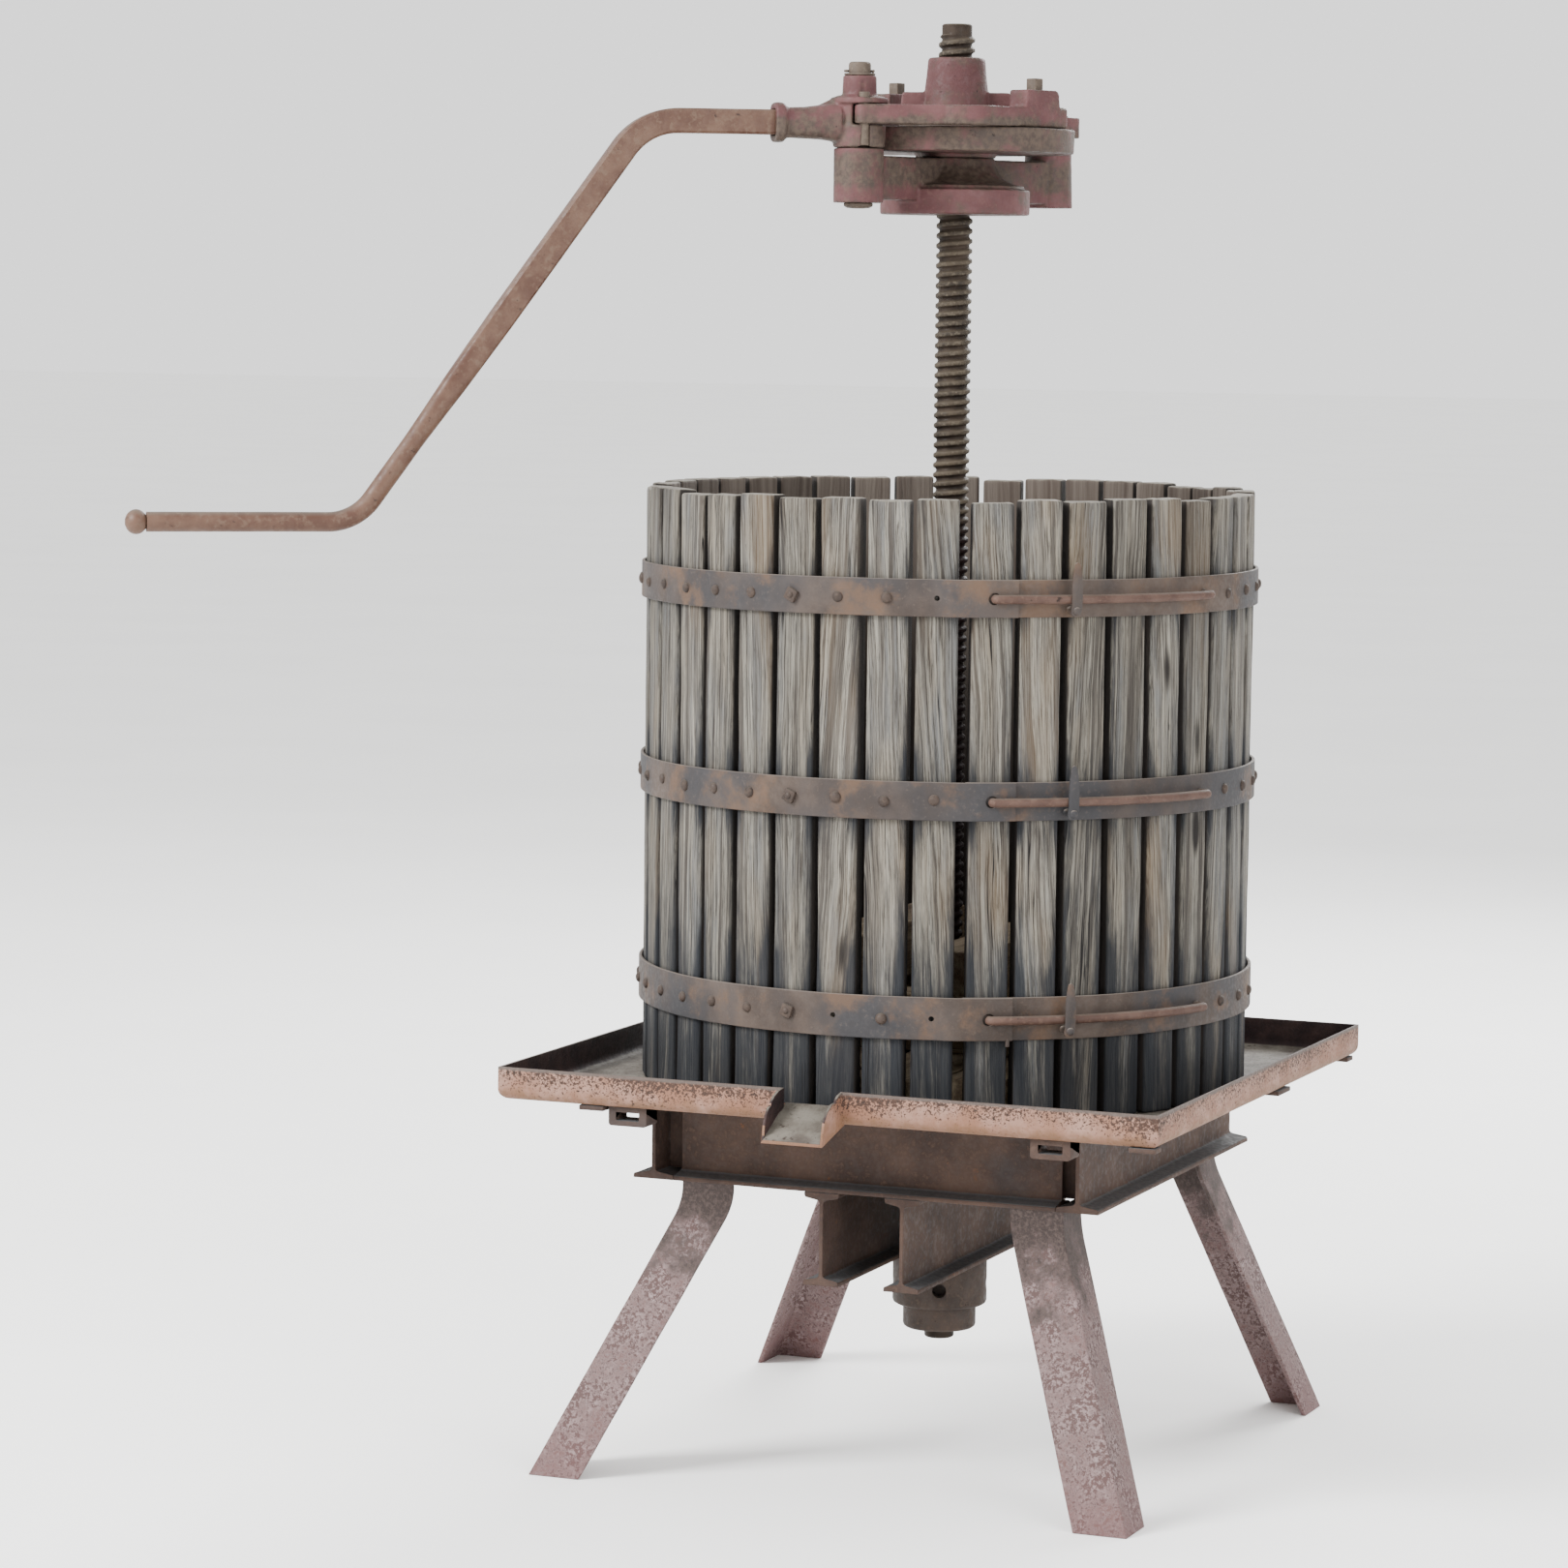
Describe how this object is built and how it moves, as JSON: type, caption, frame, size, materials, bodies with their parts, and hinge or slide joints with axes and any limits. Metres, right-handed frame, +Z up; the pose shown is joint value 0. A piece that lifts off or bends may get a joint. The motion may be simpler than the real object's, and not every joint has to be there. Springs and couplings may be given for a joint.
{
  "type": "basket wine press",
  "caption": "Free-standing screw press: two-part slatted basket on a steel tray with a spout, fixed threaded spindle and a ratchet head with a cranked lever.",
  "frame": {"origin": "middle of the whole footprint at floor level, the spindle's axis at x 0.172, y 0.116", "axes": "+Z up along the spindle; -Y towards the front of the tray, where the spout is"},
  "size_m": [1.1237, 1.0249, 1.6487],
  "materials": {
    "tray_paint": "faded, chipped paint over rust",
    "beam_steel": "dark brown paint and rust, dusty",
    "leg_paint": "faded pink paint flaking to rust",
    "spindle_steel": "worn and greasy",
    "nut_steel": "dark rust",
    "stave_oak": "weathered bare oak",
    "hoop_steel": "rusty flat bar",
    "rod_steel": "red rust",
    "press_wood": "bare beech",
    "head_iron": "faded red paint with dust",
    "lever_steel": "red paint worn to rust",
    "pin_steel": "worn steel"
  },
  "bodies": {
    "frame": {"tray": "tray_paint", "side_beam_left": "beam_steel", "side_beam_right": "beam_steel", "front_beam": "beam_steel", "back_beam": "beam_steel", "lower_beam_left": "beam_steel", "lower_beam_right": "beam_steel", "leg_front_left": "leg_paint", "leg_front_right": "leg_paint", "leg_back_left": "leg_paint", "leg_back_right": "leg_paint", "carry_loop_left": "beam_steel", "carry_loop_right": "beam_steel", "spindle": "spindle_steel", "spindle_collar": "nut_steel", "lock_ring": "nut_steel", "basket_wall_right": "stave_oak", "hoop_top_right": "hoop_steel", "hoop_bottom_right": "hoop_steel", "closing_rod_top_front": "rod_steel", "closing_rod_middle_front": "rod_steel", "closing_rod_bottom_front": "rod_steel"},
    "basket_left": {"basket_wall_left": "stave_oak", "hoop_top_left": "hoop_steel", "hoop_bottom_left": "hoop_steel", "closing_rod_top_back": "rod_steel", "closing_rod_middle_back": "rod_steel", "closing_rod_bottom_back": "rod_steel"},
    "pressing_stack": {"half_board_left": "press_wood", "half_board_right": "press_wood", "block_front": "press_wood", "block_back": "press_wood", "block_left": "press_wood", "block_right": "press_wood"},
    "head": {"head_base": "head_iron", "pivot_pin": "pin_steel", "split_pin": "pin_steel", "boss_plate": "head_iron", "boss_bolt": "pin_steel"},
    "nut": {"nut_wheel": "head_iron"},
    "lever": {"lever_socket": "head_iron", "crank_pin_front": "pin_steel", "crank_pin_rear": "pin_steel"},
    "lever_bar": {"lever_bar": "lever_steel"},
    "link_front": {"link_front": "head_iron"},
    "link_rear": {"link_rear": "head_iron"},
    "drop_pin_front": {"drop_pin_front": "pin_steel"},
    "drop_pin_rear": {"drop_pin_rear": "pin_steel"},
    "keeper_top_front": {"keeper_top_front": "rod_steel"},
    "keeper_middle_front": {"keeper_middle_front": "rod_steel"},
    "keeper_bottom_front": {"keeper_bottom_front": "rod_steel"},
    "keeper_top_back": {"keeper_top_back": "rod_steel"},
    "keeper_middle_back": {"keeper_middle_back": "rod_steel"},
    "keeper_bottom_back": {"keeper_bottom_back": "rod_steel"}
  },
  "joints": [
    {"name": "nut_spin", "type": "hinge", "parent": "head", "child": "nut", "pos_m": [0.172, 0.116, 1.515], "axis": [0, 0, 1], "range_deg": [-11368, 0]},
    {"name": "head_travel", "type": "slide", "parent": "frame", "child": "head", "axis": [0, 0, 1], "range_m": [-0.36, 0]},
    {"name": "lever_swing", "type": "hinge", "parent": "head", "child": "lever", "pos_m": [0.11592, -0.04236, 1.5308], "axis": [0, 0, 1], "range_deg": [0, 72]},
    {"name": "lever_bar_slide", "type": "slide", "parent": "lever", "child": "lever_bar", "axis": [-0.8241, -0.5664, 0], "range_m": [0, 0.06]},
    {"name": "link_front_turn", "type": "hinge", "parent": "lever", "child": "link_front", "pos_m": [0.12951, -0.06214, 1.54], "axis": [0, 0, 1], "range_deg": [-72, 0]},
    {"name": "drop_pin_front_lift", "type": "slide", "parent": "link_front", "child": "drop_pin_front", "axis": [0, 0, 1], "range_m": [0, 0.03]},
    {"name": "link_rear_turn", "type": "hinge", "parent": "lever", "child": "link_rear", "pos_m": [0.10233, -0.02258, 1.54], "axis": [0, 0, 1], "range_deg": [-72, 0]},
    {"name": "drop_pin_rear_lift", "type": "slide", "parent": "link_rear", "child": "drop_pin_rear", "axis": [0, 0, 1], "range_m": [0, 0.03]},
    {"name": "stack_lift", "type": "slide", "parent": "frame", "child": "pressing_stack", "axis": [0, 0, 1], "range_m": [0, 0.45]},
    {"name": "basket_part", "type": "slide", "parent": "frame", "child": "basket_left", "axis": [-0.8396, -0.5432, 0], "range_m": [0, 0.025]},
    {"name": "keeper_top_front_turn", "type": "hinge", "parent": "frame", "child": "keeper_top_front", "pos_m": [0.41597, -0.15212, 1.0015], "axis": [0.673, -0.7396, 0], "range_deg": [-100, 0]},
    {"name": "keeper_middle_front_turn", "type": "hinge", "parent": "frame", "child": "keeper_middle_front", "pos_m": [0.41597, -0.15212, 0.78015], "axis": [0.673, -0.7396, 0], "range_deg": [-100, 0]},
    {"name": "keeper_bottom_front_turn", "type": "hinge", "parent": "frame", "child": "keeper_bottom_front", "pos_m": [0.41597, -0.15212, 0.54115], "axis": [0.673, -0.7396, 0], "range_deg": [-100, 0]},
    {"name": "keeper_top_back_turn", "type": "hinge", "parent": "basket_left", "child": "keeper_top_back", "pos_m": [-0.07197, 0.38412, 1.0015], "axis": [-0.673, 0.7396, 0], "range_deg": [-100, 0]},
    {"name": "keeper_middle_back_turn", "type": "hinge", "parent": "basket_left", "child": "keeper_middle_back", "pos_m": [-0.07197, 0.38412, 0.78015], "axis": [-0.673, 0.7396, 0], "range_deg": [-100, 0]},
    {"name": "keeper_bottom_back_turn", "type": "hinge", "parent": "basket_left", "child": "keeper_bottom_back", "pos_m": [-0.07197, 0.38412, 0.54115], "axis": [-0.673, 0.7396, 0], "range_deg": [-100, 0]}
  ],
  "couplings": [
    {"joint": "head_travel", "follows": "nut_spin", "m_per_rad": 0.0018144},
    {"joint": "link_front_turn", "follows": "lever_swing", "ratio": -1},
    {"joint": "link_rear_turn", "follows": "lever_swing", "ratio": -1}
  ]
}
